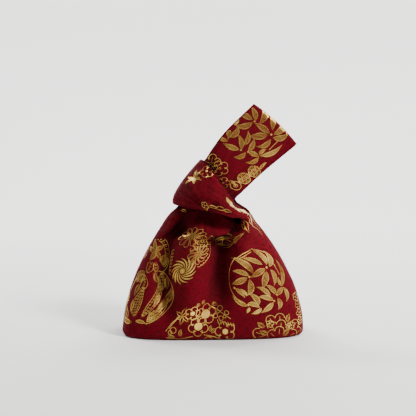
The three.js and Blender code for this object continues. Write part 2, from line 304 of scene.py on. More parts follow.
def band_rows(lead_row, start_row, tuck, hang):
    """The right half over the shoulder as the short handle and left across the knot."""
    shoulder_hang, corner_hang, middle_hang = (share * BAND_DROP for share in hang)
    places = column_sides[-len(start_row):]
    start = start_row[0]
    sideways = KNOT_HALF + HUG
    out = KNOT_FRONT + HUG
    return loft([
        lead_row,
        start_row,
        key_row((
            start + (TONGUE_REACH * 0.27, tuck, TONGUE_RISE),
            in_knot(KNOT_HALF * 1.66, out * 1.4, -KNOT_HALF * 1.07),
            body_side(1, MOUTH_HEIGHT * 1.09, KNOT_FRONT * 0.19),
        ), places, [(0.18, 0.15, -tuck * 0.6)]),
        key_row((
            in_knot(sideways * 1.06, out * 0.88, -BAND_DROP * 1.87),
            in_knot(KNOT_HALF * 1.7, out * 1.5, -KNOT_HALF * 0.76),
            body_side(1, MOUTH_HEIGHT * 1.18, KNOT_FRONT * 0.37),
        ), places),
        key_row((
            in_knot(KNOT_HALF * 1.42, out * 1.4, -shoulder_hang),
            in_knot(KNOT_HALF * 1.7, out * 1.35, -KNOT_HALF * 0.41),
            body_side(1, MOUTH_HEIGHT * 1.27, KNOT_FRONT * 0.62),
        ), places),
        key_row((
            in_knot(sideways * 0.91, out + BAND_FLARE, -corner_hang),
            in_knot(sideways * 0.94, out + BAND_FLARE * 0.7 + BAND_BULGE, -BAND_DROP * 0.33),
            in_knot(sideways, KNOT_FRONT * 0.87, 0),
        ), places),
        key_row((
            in_knot(KNOT_HALF * 0.25, out + BAND_FLARE, -middle_hang),
            in_knot(KNOT_HALF * 0.22, out + BAND_FLARE * 0.5 + BAND_BULGE, BAND_DROP * 0.33),
            in_knot(KNOT_HALF * 0.5, out * 0.95, BAND_RISE * 0.5),
        ), places),
        key_row((
            in_knot(-KNOT_HALF * 0.55, out + BAND_FLARE * 0.5, -BAND_DROP * 0.92),
            in_knot(-KNOT_HALF * 0.55, out + BAND_FLARE * 0.2 + BAND_BULGE, BAND_DROP * 0.53),
            in_knot(-KNOT_HALF * 0.18, out * 0.85, BAND_RISE * 1.05),
        ), places),
        key_row((
            in_knot(-sideways * 1.06, out * 0.6, -BAND_DROP * 1.07),
            in_knot(-sideways * 0.97, out * 0.6, BAND_DROP * 0.33),
            in_knot(-KNOT_HALF * 0.5, out * 0.5, BAND_RISE * 1.16),
        ), places),
        key_row((
            in_knot(-sideways * 1.14, 0, -BAND_DROP * 1.07),
            in_knot(-sideways * 1.06, 0, BAND_DROP * 0.27),
            in_knot(-KNOT_HALF * 0.6, 0, BAND_RISE * 1.18),
        ), places),
    ], BAND_ROWS)


def grid_normals(points):
    """Unit normals of a grid of points, towards the front."""
    across = np.gradient(points, axis=1)
    up = np.gradient(points, axis=0)
    normals = np.cross(across, up)
    length = np.linalg.norm(normals, axis=2, keepdims=True)
    return normals / np.maximum(length, 1e-12)


def wrinkle(point, seed):
    """How far the cloth stands out here: creases that run from the knot, and a soft crumple."""
    x, y, z = point
    inner = smoothstep(-y, 0.0005, 0.009) * smoothstep(z, 0.004, 0.022)
    if inner == 0:
        return 0.0
    from_knot = Vector((x - KNOT_SHIFT, 0, z - KNOT_HEIGHT + 0.01))
    reach = from_knot.length
    angle = math.atan2(from_knot.x, -from_knot.z)
    radial = noise.noise(Vector((angle * 5.5, reach * 9, seed)))
    fine_radial = noise.noise(Vector((angle * 14, reach * 22, seed + 3)))
    near = 1 - smoothstep(reach, 0.035, 0.125)
    soft = noise.noise(Vector((x * 26, z * 22, seed + 7)))
    small = noise.noise(Vector((x * 85, z * 70 + y * 30, seed + 11)))
    return inner * (
        CREASE_RISE * radial * lerp(0.35, 1, near) + FINE_CREASE_RISE * fine_radial * near
        + CRUMPLE_RISE * soft + SMALL_CRUMPLE_RISE * small
    )


def strip_crease(share, along, seed):
    """Soft creases that run along a strip from where the knot grips it."""
    fine = noise.noise(Vector((share * 9, along * 2.2, seed + 17)))
    broad = noise.noise(Vector((share * 4, along * 1.1, seed + 23)))
    return STRIP_FINE_RISE * fine + STRIP_BROAD_RISE * broad


def panel_patches(folds, hollow, reach, tuck, hang, seed):
    """The three grids of a panel, wrinkled: the body, the long handle and the band."""
    wall = [body_row(z, folds) for z in np.linspace(BASE_EDGE, MOUTH_HEIGHT, WALL_ROWS + 1)]
    lead = body_row(MOUTH_HEIGHT - LEAD, folds)
    centre = ACROSS // 2
    patches = [
        np.array([*base_rows(folds), *wall]),
        np.array(long_handle_rows(lead[:centre + 1], wall[-1][:centre + 1], hollow, reach)),
        np.array(band_rows(lead[centre:], wall[-1][centre:], tuck, hang)),
    ]
    normals = [grid_normals(patch) for patch in patches]
    top = normals[0][-1].copy()
    for strip, columns in ((1, slice(0, centre + 1)), (2, slice(centre, None))):
        joint = top[columns] + normals[strip][0]
        joint /= np.linalg.norm(joint, axis=1, keepdims=True)
        normals[strip][0] = joint
        normals[0][-1][columns] = joint
    normals[1][0][-1] = normals[2][0][0] = normals[0][-1][centre]
    for kind, (patch, normal) in enumerate(zip(patches, normals)):
        for j, (row, row_normals) in enumerate(zip(patch, normal)):
            along = j / (len(patch) - 1)
            grip = smoothstep(along, 0, 0.3) * (1 - 0.7 * smoothstep(along, 0.6, 1)) if kind else 0
            for i, (point, n) in enumerate(zip(row, row_normals)):
                rise = wrinkle(point, seed)
                if grip:
                    crease = strip_crease(i / len(row), along * 3, seed + kind)
                    rise += grip * crease * smoothstep(-point[1], 0, 0.006)
                point += n * rise
                point[1] = min(point[1], -HALF_SEAM)
    return patches


class Chart:
    """Flat coordinates on a grid of cloth, in metres: u across from its middle column, v up."""

    def __init__(self, points, middle):
        self.points = points
        self.normals = grid_normals(points)
        steps = np.linalg.norm(np.diff(points[:, middle], axis=0), axis=1)
        self.v = np.concatenate([[0], np.cumsum(steps)])
        across = np.linalg.norm(np.diff(points, axis=1), axis=2)
        u = np.concatenate([np.zeros((len(points), 1)), np.cumsum(across, axis=1)], axis=1)
        self.u = u - u[:, middle:middle + 1]

    def locate(self, u, v):
        """The point and normal at flat coordinates, or None off the cloth."""
        if not self.v[0] <= v < self.v[-1]:
            return None
        row = int(np.searchsorted(self.v, v, side="right")) - 1
        up = (v - self.v[row]) / max(self.v[row + 1] - self.v[row], 1e-9)
        line = lerp(self.u[row], self.u[row + 1], up)
        if not line[0] <= u < line[-1]:
            return None
        column = int(np.searchsorted(line, u, side="right")) - 1
        along = (u - line[column]) / max(line[column + 1] - line[column], 1e-9)

        def blend(grid):
            low = lerp(grid[row, column], grid[row, column + 1], along)
            high = lerp(grid[row + 1, column], grid[row + 1, column + 1], along)
            return lerp(low, high, up)

        return blend(self.points), blend(self.normals)

    def at_pixel(self, pixel):
        """Flat coordinates of the point that the photograph's view shows at a pixel."""
        away = self.points - np.array(camera_place)
        ahead = away @ np.array(camera_forward)
        focal = LENS / SENSOR * IMAGE_SIZE
        px = IMAGE_SIZE / 2 + focal * away[..., 0] / ahead
        py = IMAGE_SIZE / 2 - focal * (away @ np.array(camera_up)) / ahead
        miss = (px - pixel[0]) ** 2 + (py - pixel[1]) ** 2
        facing = np.einsum("ijk,k->ij", self.normals, np.array(camera_forward)) < 0
        close = (miss < max(2.5, miss[facing].min() + 0.5)) & facing
        row, column = np.unravel_index(np.argmin(np.where(close, ahead, np.inf)), miss.shape)
        return self.u[row, column], self.v[row]


camera_forward = Vector((0, math.cos(CAMERA_ELEVATION), -math.sin(CAMERA_ELEVATION)))
camera_up = Vector((0, math.sin(CAMERA_ELEVATION), math.cos(CAMERA_ELEVATION)))
camera_place = CAMERA_AIM - camera_forward * CAMERA_DISTANCE


def add_grid(bm, uv_layer, points, chart_u, chart_v):
    """A grid of cloth in the bmesh, with its flat coordinates as UVs."""
    rows, columns = points.shape[:2]
    made = bmesh.ops.create_grid(bm, x_segments=columns - 1, y_segments=rows - 1, size=1)["verts"]
    places = {}
    for vert in made:
        column = round((vert.co.x + 1) / 2 * (columns - 1))
        row = round((vert.co.y + 1) / 2 * (rows - 1))
        places[vert] = (row, column)
    for vert, (row, column) in places.items():
        vert.co = points[row, column]
    for face in {face for vert in made for face in vert.link_faces}:
        face.smooth = True
        for loop in face.loops:
            row, column = places[loop.vert]
            loop[uv_layer].uv = (chart_u[row, column], chart_v[row])


def finish_sheet(bm, inset, thickness, mirrored):
    """Joins a panel's grids, moves them in under the face and gives them their thickness."""
    bmesh.ops.remove_doubles(bm, verts=bm.verts, dist=2e-6)
    bmesh.ops.dissolve_degenerate(bm, edges=bm.edges, dist=1e-6)
    bm.normal_update()
    depth = {vert: vert.normal.copy() for vert in bm.verts}
    for vert, normal in depth.items():
        vert.co -= normal * inset
    bmesh.ops.solidify(bm, geom=bm.faces[:], thickness=thickness)
    for vert in bm.verts:
        vert.co.y = min(vert.co.y, -HALF_SEAM)
    if mirrored:
        bmesh.ops.scale(bm, vec=(1, -1, 1), verts=bm.verts)
    bmesh.ops.recalc_face_normals(bm, faces=bm.faces)
    for face in bm.faces:
        face.smooth = True


def new_object(name, bm, material):
    mesh = bpy.data.meshes.new(name)
    bm.to_mesh(mesh)
    bm.free()
    mesh.materials.append(material)
    made = bpy.data.objects.new(name, mesh)
    bpy.context.scene.collection.objects.link(made)
    return made


def bag_piece(name, bm, material):
    piece = new_object(name, bm, material)
    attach(piece, "root")
    return piece


def cloth_piece(name, charts, inset, thickness, mirrored, material):
    bm = bmesh.new()
    uv_layer = bm.loops.layers.uv.new("flat")
    for chart in charts:
        add_grid(bm, uv_layer, chart.points, chart.u, chart.v)
    finish_sheet(bm, inset, thickness, mirrored)
    return bag_piece(name, bm, material)


# Materials

def node_material(name):
    material = bpy.data.materials.new(name)
    material.use_nodes = True
    tree = material.node_tree
    return material, tree, tree.nodes["Principled BSDF"]


def fill_inputs(tree, node, inputs):
    """Links what is a socket to the node's inputs, and sets what is a value."""
    for key, value in dict(inputs).items():
        if isinstance(value, bpy.types.NodeSocket):
            tree.links.new(value, node.inputs[key])
        else:
            node.inputs[key].default_value = value


def add_node(tree, kind, inputs=(), **settings):
    node = tree.nodes.new(kind)
    for key, value in settings.items():
        setattr(node, key, value)
    fill_inputs(tree, node, inputs)
    return node


def maths(tree, operation, first, second):
    return add_node(tree, "ShaderNodeMath", {0: first, 1: second}, operation=operation).outputs[0]


def speckle(tree, place, scale, detail, roughness=0.5):
    return add_node(tree, "ShaderNodeTexNoise", {
        "Vector": place, "Scale": scale, "Detail": detail, "Roughness": roughness,
    }).outputs["Fac"]


def spread(tree, value, low, high, to_low=0.0, to_high=1.0):
    """The value, its range from low to high spread over another."""
    return add_node(tree, "ShaderNodeMapRange", {
        "Value": value, "From Min": low, "From Max": high, "To Min": to_low, "To Max": to_high,
    }).outputs["Result"]


def tint(tree, share, low, high):
    """The colour at a share of the way between two."""
    return add_node(tree, "ShaderNodeMix", {
        0: share, 6: (*low, 1), 7: (*high, 1),
    }, data_type="RGBA").outputs[2]


def bumped(tree, height, strength, distance):
    return add_node(tree, "ShaderNodeBump", {
        "Height": height, "Strength": strength, "Distance": distance,
    }).outputs["Normal"]


def slubs(tree, stretch, scale, detail):
    """Noise drawn out along the threads of the cloth's own flat coordinates."""
    flat = add_node(tree, "ShaderNodeUVMap", uv_map="flat").outputs["UV"]
    stretched = add_node(tree, "ShaderNodeMapping", {"Vector": flat, "Scale": stretch})
    return speckle(tree, stretched.outputs["Vector"], scale, detail, 0.55)


def painted_crease_shade(tree, colour, reach, power, own=False):
    """The colour with painted shade: darker where cloth lies close in front of it, as the shade in
    deep folds.

    own leaves other pieces out.
    """
    shade_occlusion = add_node(
        tree, "ShaderNodeAmbientOcclusion", {"Distance": reach}, samples=8, only_local=own,
    )
    tone = maths(tree, "POWER", shade_occlusion.outputs["AO"], power)
    return add_node(tree, "ShaderNodeMix", {
        0: 1.0, 6: colour, 7: tone,
    }, data_type="RGBA", blend_type="MULTIPLY").outputs[2]


def cotton(name, deep, lit):
    """Slubby plain weave: threads both ways, uneven in colour and thickness, with painted shade in
    its folds.
    """
    material, tree, shader = node_material(name)
    warp = slubs(tree, (6, 1, 1), 150, 3)
    weft = slubs(tree, (1, 6, 1), 150, 3)
    patches = slubs(tree, (1, 1, 1), 330, 2)
    threads = maths(tree, "ADD", warp, weft)
    share = spread(tree, maths(tree, "ADD", threads, patches), 1.15, 1.85)
    fill_inputs(tree, shader, {
        # Base colour darkened by painted shade where cloth lies close in front of it, in folds and
        # under the band
        "Base Color": painted_crease_shade(tree, tint(tree, share, deep, lit), 0.018, 2.6, own=True),
        "Normal": bumped(tree, threads, 0.5, 0.0009),
        "Roughness": 0.9,
        "Sheen Weight": 0.03,
        "Sheen Roughness": 0.4,
        "Sheen Tint": (1.0, 0.25, 0.3, 1),
        "Specular IOR Level": 0.08,
    })
    return material


def foil(name, worn, bright):
    """Gold foil pressed on the weave: bright, with threads showing through it, and painted shade
    where things lie close in front of it.
    """
    material, tree, shader = node_material(name)
    place = add_node(tree, "ShaderNodeTexCoord").outputs["Object"]
    threads = speckle(tree, place, 900, 3, 0.6)
    wear = speckle(tree, place, 60, 2)
    share = spread(tree, maths(tree, "ADD", threads, wear), 0.68, 1.08)
    fill_inputs(tree, shader, {
        # Base colour darkened by painted shade where anything lies close in front of the foil
        "Base Color": painted_crease_shade(tree, tint(tree, share, worn, bright), 0.02, 1.2),
        "Normal": bumped(tree, threads, 0.5, 0.0005),
        "Metallic": 0.75,
        "Roughness": 0.3,
    })
    return material


WINE_DEEP, WINE_LIT = (0.048, 0.0006, 0.0028), (0.15, 0.0015, 0.0085)
LINING_DEEP, LINING_LIT = (0.02, 0.0006, 0.002), (0.07, 0.0015, 0.006)
GOLD_WORN, GOLD_BRIGHT = (0.4, 0.14, 0.014), (1.0, 0.68, 0.14)
printed_cotton = cotton("printed_cotton", WINE_DEEP, WINE_LIT)
lining_cotton = cotton("lining_cotton", LINING_DEEP, LINING_LIT)
gold_foil = foil("gold_foil", GOLD_WORN, GOLD_BRIGHT)


# The print, drawn flat in metres and then laid on the cloth

# Widths of a line and of a leaf's vein, steps of the small rings, and how far the foil lies off
# the cloth. Blossoms larger than the last have stamens.
LINE, VEIN = 0.00058, 0.0004
RING_STEP, LACE_STEP = 0.003, 0.0054
LIFT = 0.00022
STAMENS_FROM = 0.01


class Artwork:
    """Gold shapes in the flat, each a strip or a disc of small faces."""

    def __init__(self, bm):
        self.bm = bm

    def strip(self, path, half_width, steps, sides=(-1, 1)):
        """A strip along path(s) for s from 0 to 1, between two shares of its half width."""
        made = bmesh.ops.create_grid(self.bm, x_segments=steps, y_segments=1, size=1)["verts"]
        for vert in made:
            s = (vert.co.x + 1) / 2
            side = lerp(*sides, (vert.co.y + 1) / 2)
            here, ahead = path(max(0, s - 0.01)), path(min(1, s + 0.01))
            along = (ahead - here).normalized()
            across = Vector((-along.y, along.x))
            vert.co = (path(s) + across * side * half_width(s)).to_3d()

    def line(self, points, width=LINE, steps=None):
        """A thin line through a few points."""
        curve = [Vector(point) for point in points]

        def path(s):
            place = s * (len(curve) - 1)
            index = min(int(place), len(curve) - 2)
            return curve[index].lerp(curve[index + 1], place - index)

        length = sum((b - a).length for a, b in zip(curve, curve[1:]))
        self.strip(path, lambda s: width / 2, steps or max(2, int(length / 0.0015)))

    def arc(self, centre, radius, start, turn, width=LINE):
        centre = Vector(centre)
        steps = max(int(abs(turn) * 1.1), int(abs(turn) * radius / 0.0013), 3)
        self.strip(lambda s: centre + polar(radius, start + turn * s), lambda s: width / 2, steps)

    def dot(self, centre, radius):
        made = bmesh.ops.create_circle(self.bm, cap_ends=True, segments=8, radius=radius)["verts"]
        bmesh.ops.translate(self.bm, vec=Vector(centre).to_3d(), verts=made)

    def disc(self, centre, radius):
        """A bright round, drawn as rings so that it follows the cloth."""
        for share in (0.17, 0.5, 0.83):
            self.arc(centre, radius * share, 0, math.tau, radius * 0.36)

    def stroke(self, path, width, steps=9):
        """A bold stroke that tapers to both ends."""
        self.strip(path, lambda s: width / 2 * max(0.08, math.sin(math.pi * s)) ** 0.7, steps)

    def leaf(self, root, tip, width, bow=0.0, veins=4):
        """A pointed leaf in outline, with fine veins along it."""
        path = bowed(root, tip, bow)
        steps = max(6, int((Vector(tip) - Vector(root)).length / 0.002))
        edge = max(0.4, 1 - 2 * LINE / width)
        for low, high in ((edge, 1), (-1, -edge)):
            self.strip(path, lambda s: leaf_half(s, width), steps, (low, high))
        for k in range(veins):
            middle = edge * (2 * (k + 0.5) / veins - 1)
            share = VEIN / width
            self.strip(path, lambda s: leaf_half(s, width), steps, (middle - share, middle + share))


def turned(point, angle):
    x, y = point
    cos, sin = math.cos(angle), math.sin(angle)
    return Vector((x * cos - y * sin, x * sin + y * cos))


def polar(radius, angle):
    return Vector((math.cos(angle), math.sin(angle))) * radius


def bowed(root, tip, bow):
    """A path from root to tip that bows to its left by a share of its length."""
    root, tip = Vector(root), Vector(tip)
    across = Vector((root.y - tip.y, tip.x - root.x))
    return lambda s: root.lerp(tip, s) + across * (bow * 4 * s * (1 - s))


def leaf_half(s, width):
    return width / 2 * max(0.03, math.sin(math.pi * min(1, s ** 0.8))) ** 1.1


def shares_of(radius):
    """Turns shares of a crest's radius into its flat coordinates."""
    return lambda x, y: Vector((x, y)) * radius


def blossom(art, centre, radius, turn=0.0, ball=0.0, width=LINE, stamens=True):
    """A plum blossom: five round petals about a small ring with stamens, or about a bright ball."""
    centre = Vector(centre)
    for k in range(5):
        angle = turn + k * math.tau / 5
        art.arc(centre + polar(radius * 0.58, angle), radius * 0.42, angle - 2.1, 4.2, width)
        if stamens:
            stalk = [centre + polar(radius * share, angle) for share in (0.2, 0.6)]
            art.line(stalk, width * 0.7)
            art.dot(centre + polar(radius * 0.66, angle), width * 0.8)
    if ball:
        art.disc(centre, radius * ball)
    else:
        art.arc(centre, radius * 0.14, 0, math.tau, width)


def chrysanthemum(art, centre, radius, petals, twist=0.0, heart=0.25, width=LINE):
    """Many narrow petals about a heart, each drawn round its tip."""
    centre = Vector(centre)
    spread = math.tau / petals * 0.4
    for k in range(petals):
        angle = k * math.tau / petals
        for side in (-1, 1):
            art.line([
                centre + polar(radius * heart, angle + side * spread * 0.3),
                centre + polar(radius * 0.62, angle + twist * 0.5 + side * spread),
                centre + polar(radius * 0.88, angle + twist * 0.85 + side * spread * 0.9),
                centre + polar(radius, angle + twist),
            ], width)
    art.arc(centre, radius * heart * 0.8, 0, math.tau, width)
    art.arc(centre, radius * heart * 0.35, 0, math.tau, width * 1.4)


def whirl(art, centre, radius, arms, twist):
    """A flower turned as a whirl, strokes from a bright heart."""
    centre = Vector(centre)
    for k in range(arms):
        angle = k * math.tau / arms

        def path(s):
            return centre + polar(radius * lerp(0.24, 1, s), angle + twist * s ** 0.8)

        art.stroke(path, radius * 0.11)
    art.disc(centre, radius * 0.2)


# Leaves of the bamboo round: root, tip, width and bow, as shares of its radius
BAMBOO_LEAVES = (
    ((0.25, 0.52), (-0.38, 0.80), 0.17, -0.05),
    ((0.32, 0.38), (-0.23, 0.11), 0.20, -0.03),
    ((0.40, 0.49), (0.12, 1.10), 0.20, -0.15),
    ((0.34, 0.31), (0.12, -0.26), 0.24, 0.05),
    ((0.51, 0.34), (0.55, -0.20), 0.17, 0.20),
    ((0.49, 0.43), (0.57, 0.97), 0.20, -0.18),
    ((-0.12, 0.23), (-0.82, 0.76), 0.22, -0.16),
    ((-0.28, 0.17), (-0.83, 0.31), 0.17, -0.10),
    ((-0.35, 0.11), (-0.89, -0.12), 0.20, 0.03),
    ((-0.28, 0.06), (-0.45, -0.49), 0.21, 0.20),
    ((-0.80, -0.25), (-0.52, -0.57), 0.14, 0.10),
    ((-0.45, -0.51), (-0.63, -0.26), 0.10, -0.15),
    ((-0.48, -0.85), (-0.94, -0.49), 0.17, 0.10),
    ((-0.12, -0.83), (-0.37, -0.42), 0.20, -0.20),
    ((-0.48, -0.78), (-0.08, -0.94), 0.17, 0.15),
    ((-0.42, -0.91), (-0.55, -1.12), 0.10, 0.0),
    ((-0.03, -0.94), (-0.40, -1.14), 0.13, 0.10),
    ((0.43, -0.69), (-0.09, -0.55), 0.17, -0.12),
    ((0.40, -0.74), (-0.06, -1.11), 0.17, 0.05),
    ((0.58, -0.60), (0.53, -1.03), 0.17, 0.20),
    ((0.58, -0.51), (0.25, -0.14), 0.17, -0.12),
    ((0.34, -0.55), (-0.07, -0.20), 0.16, -0.15),
    ((0.62, -0.51), (0.92, -0.26), 0.17, 0.05),
    ((0.91, -0.28), (0.88, -0.77), 0.15, 0.20),
    ((0.88, -0.23), (0.83, 0.62), 0.16, -0.14),
    ((0.85, -0.23), (0.77, 0.08), 0.12, 0.10),
)
BAMBOO_KNUCKLES = (
    (0.38, 0.42), (-0.27, 0.14), (-0.81, -0.24), (-0.46, -0.82), (0.44, -0.7), (0.6, -0.51),
)
BAMBOO_STEMS = (
    ((-0.63, 0.74), (-0.3, 0.92), (0.09, 1.05)),
    ((-0.5, 0.76), (-0.2, 0.88), (0.07, 0.98)),
    ((0.68, 0.52), (0.83, 0.14)),
)


def bamboo_crest(art, radius):
    """A round of bamboo leaves about an open middle, closed by thin stems."""
    at = shares_of(radius)
    for root, tip, width, bow in BAMBOO_LEAVES:
        art.leaf(at(*root), at(*tip), width * radius, bow)
    for x, y in BAMBOO_KNUCKLES:
        art.dot(at(x, y), radius * 0.035)
    art.arc((0, 0), radius, 2.25, 1.75)
    art.arc((0, 0), radius * 1.07, 1.0, 0.45)
    for stem in BAMBOO_STEMS:
        art.line([at(x, y) for x, y in stem])


def plum_crest(art, radius):
    """A round of plum branches: blossoms with bright balls, small rings and leaves on stems."""
    at = shares_of(radius)
    for x, y, size, ball, turn in (
        (0.13, 0.63, 0.29, 0.44, 0.3), (-0.05, 0.29, 0.27, 0.4, 0.9),
        (-0.25, 0.68, 0.2, 0.32, 0.1), (0.67, 0.14, 0.27, 0.28, 0.6),
        (0.2, -0.25, 0.26, 0.36, 0.2), (-0.4, -0.4, 0.28, 0.3, 1.0),
        (0.5, -0.55, 0.24, 0.0, 0.4),
    ):
        blossom(art, at(x, y), size * radius, turn, ball, stamens=False)
    for x, y, size in (
        (0.54, 0.77, 0.07), (0.72, 0.66, 0.06), (0.41, 0.56, 0.06), (0.56, 0.5, 0.06),
        (0.48, 0.67, 0.04), (0.66, 0.55, 0.04), (-0.72, 0.18, 0.08), (-0.8, 0.12, 0.05),
    ):
        art.arc(at(x, y), size * radius, 0, math.tau)
    root = at(-0.51, 0.6)
    for angle, length in (
        (1.3, 0.27), (2.6, 0.22), (3.7, 0.2), (4.6, 0.28), (5.5, 0.26), (0.3, 0.16),
    ):
        art.leaf(root, root + polar(length * radius, angle), 0.1 * radius, 0.05, veins=0)
    for root, tip in (
        ((0.0, 0.92), (0.05, 1.04)), ((-0.1, 0.88), (-0.16, 0.98)),
        ((0.28, 0.14), (0.3, 0.32)), ((0.3, 0.1), (0.44, 0.22)),
        ((-0.52, 0.02), (-0.5, 0.22)), ((-0.66, -0.02), (-0.86, 0.06)),
        ((0.3, 0.88), (0.48, 0.84)),
    ):
        art.leaf(at(*root), at(*tip), 0.1 * radius, 0.1, veins=1)
    for k in range(7):
        art.line([at(0.46 + 0.07 * k, 0.46 - 0.015 * k), at(0.5 + 0.07 * k, 0.34 - 0.01 * k)])
    stems = (
        ((0.2, 0.88), (0.44, 0.74), (0.82, 0.5)),
        ((-0.57, 0.58), (-0.78, 0.36), (-0.92, 0.15)),
        ((-0.61, 0.54), (-0.84, 0.22)),
        ((-0.9, -0.02), (-0.55, -0.06), (-0.2, 0.02)),
        ((0.1, 0.06), (0.4, 0.0), (0.6, -0.1)),
        ((-0.7, -0.2), (-0.62, -0.55), (-0.3, -0.85)),
    )
    for stem in stems:
        art.line([at(*point) for point in stem], LINE * 1.2)
    art.arc((0, 0), radius * 0.96, 3.5, 1.6)


def whirl_crest(art, radius):
    """A round of chrysanthemums, one of them a whirl, with lace between them."""
    whirl(art, (-radius * 0.06, -radius * 0.66), radius * 0.44, 13, 1.5)
    chrysanthemum(art, (-radius * 0.27, radius * 0.58), radius * 0.48, 11, 0.15, width=LINE * 0.8)
    chrysanthemum(art, (radius * 0.28, -radius * 0.12), radius * 0.34, 11, 0.5, width=LINE * 0.7)
    for k in range(8):
        spot = Vector((0.02 + 0.1 * k, 0.22 + 0.03 * k + 0.035 * (k % 2))) * radius
        art.arc(spot, radius * 0.07, 0.6, 4.4)
        art.arc(spot - Vector((0.02, 0.16)) * radius, radius * 0.06, 2.6, 4.4)
    for k in range(7):
        spot = Vector((-0.66 + 0.02 * k, -0.1 - 0.11 * k)) * radius
        art.arc(spot, radius * 0.08, 1.2, 3.9)
    rim_middle = Vector((0.3, -0.12)) * radius
    for k in range(9):
        angle = 0.75 - 0.24 * k
        art.arc(rim_middle + polar(radius * 0.37, angle), radius * 0.06, angle - 1.4, 2.8)


def fan(art, root, angle, radius, half_turn=1.0):
    """An open fan: its ribs, two rims and a row of dots."""
    root = Vector(root)
    for k in range(7):
        rib = angle + half_turn * (k / 3 - 1)
        ends = [root + polar(radius * share, rib) for share in (0.2, 0.94)]
        art.line(ends, LINE * 0.8, steps=5)
        art.dot(root + polar(radius * 0.8, rib + half_turn / 6), LINE)
    for rim in (0.68, 0.97):
        art.arc(root, radius * rim, angle - half_turn, 2 * half_turn)


def paisley(art, root, tip, width, bow):
    """A bowed drop in outline, filled with rows of small rings."""
    art.leaf(root, tip, width, bow, veins=0)
    path = bowed(root, tip, bow)
    count = max(3, int((Vector(tip) - Vector(root)).length / RING_STEP))
    rows = max(1, int(width / RING_STEP) - 1)
    for k in range(1, count):
        s = k / count
        ahead = (path(s + 0.02) - path(s - 0.02)).normalized()
        side = Vector((-ahead.y, ahead.x)) * leaf_half(s, width)
        for row in range(rows):
            share = (2 * (row + 0.5) / rows - 1) * 0.8
            art.arc(path(s) + side * share, RING_STEP * 0.34, 0, math.tau, LINE * 0.6)


def drop_crest(art, radius):
    """A round of bowed drops filled with rings, veined leaves and fans, partly ringed."""
    at = shares_of(radius)
    for root, tip, width, bow in (
        ((-0.2, -0.76), (-0.32, 0.48), 0.4, 0.1), ((0.04, -0.74), (0.2, 0.8), 0.34, -0.1),
        ((0.44, -0.76), (0.7, 0.06), 0.26, -0.15), ((-0.56, 0.25), (-0.3, 0.92), 0.28, -0.15),
        ((0.4, 0.2), (0.44, 0.94), 0.3, 0.1), ((-0.5, -0.86), (-0.92, -0.3), 0.28, 0.1),
    ):
        paisley(art, at(*root), at(*tip), width * radius, bow)
    for root, tip, width, bow, veins in (
        ((0.56, -0.3), (0.86, 0.5), 0.3, -0.1, 4), ((0.6, 0.3), (0.66, 0.8), 0.24, 0.1, 3),
        ((0.76, 0.0), (0.44, -0.5), 0.26, 0.1, 4), ((0.4, -0.5), (0.3, -0.9), 0.22, 0.1, 3),
        ((-0.3, -0.95), (-0.92, -0.84), 0.2, 0.1, 3), ((-0.16, -0.9), (0.3, -0.98), 0.14, 0.1, 2),
        ((0.34, -0.3), (0.26, 0.2), 0.2, -0.1, 3), ((0.16, 0.55), (0.1, 0.95), 0.18, 0.0, 2),
        ((-0.55, 0.5), (-0.62, 0.05), 0.18, -0.1, 2), ((-0.62, -0.1), (-0.5, -0.6), 0.16, 0.1, 2),
    ):
        art.leaf(at(*root), at(*tip), width * radius, bow, veins)
    fan(art, at(0.3, -0.42), -0.9, radius * 0.46, 0.7)
    fan(art, at(-0.35, 0.55), 2.2, radius * 0.42, 0.8)
    art.arc((0, 0), radius, -1.3, 2.6)
    art.arc((0, 0), radius, 2.4, 1.2)


def petals_crest(art, radius):
    """A star of small leaves, four drops with rings, a fan and short ribs, partly ringed."""
    at = shares_of(radius)
    for angle, length in ((1.5, 0.6), (2.7, 0.5), (3.9, 0.55), (5.0, 0.5), (0.3, 0.45)):
        art.leaf(at(0.3, 0.1), at(0.3, 0.1) + polar(length * radius, angle), 0.22 * radius, 0.08, 3)
    paisley(art, at(0.0, -0.3), at(-0.5, -0.85), radius * 0.34, 0.1)
    paisley(art, at(0.2, -0.4), at(0.1, -0.95), radius * 0.26, -0.1)
    paisley(art, at(-0.3, 0.3), at(-0.75, -0.25), radius * 0.3, 0.1)
    paisley(art, at(-0.1, 0.5), at(-0.5, 0.75), radius * 0.26, -0.1)
    fan(art, at(0.35, -0.25), -0.5, radius * 0.5, 0.7)
    for k in range(6):
        angle = 0.9 - 0.24 * k
        art.line([polar(radius * 0.74, angle), polar(radius * 0.95, angle - 0.08)])
        art.dot(polar(radius * 0.86, angle - 0.15), LINE * 0.9)
    art.arc((0, 0), radius, -1.2, 2.7)
    art.arc((0, 0), radius * 0.76, -0.6, 1.4, LINE * 0.8)


def lace_crest(art, radius):
    """A round of small rings with a dot in each, edged with scallops."""
    count = int(radius / LACE_STEP) + 1
    for row in range(-count, count + 1):
        for column in range(-count, count + 1):
            spot = Vector((column + (row % 2) * 0.5, row * 0.87)) * LACE_STEP
            if spot.length < radius * 0.84:
                art.arc(spot, LACE_STEP * 0.42, 0, math.tau, LINE * 0.7)
                art.dot(spot, LINE * 0.8)
    for k in range(16):
        angle = k * math.tau / 16
        art.arc(polar(radius * 0.88, angle), radius * 0.16, angle - 1.3, 2.6)


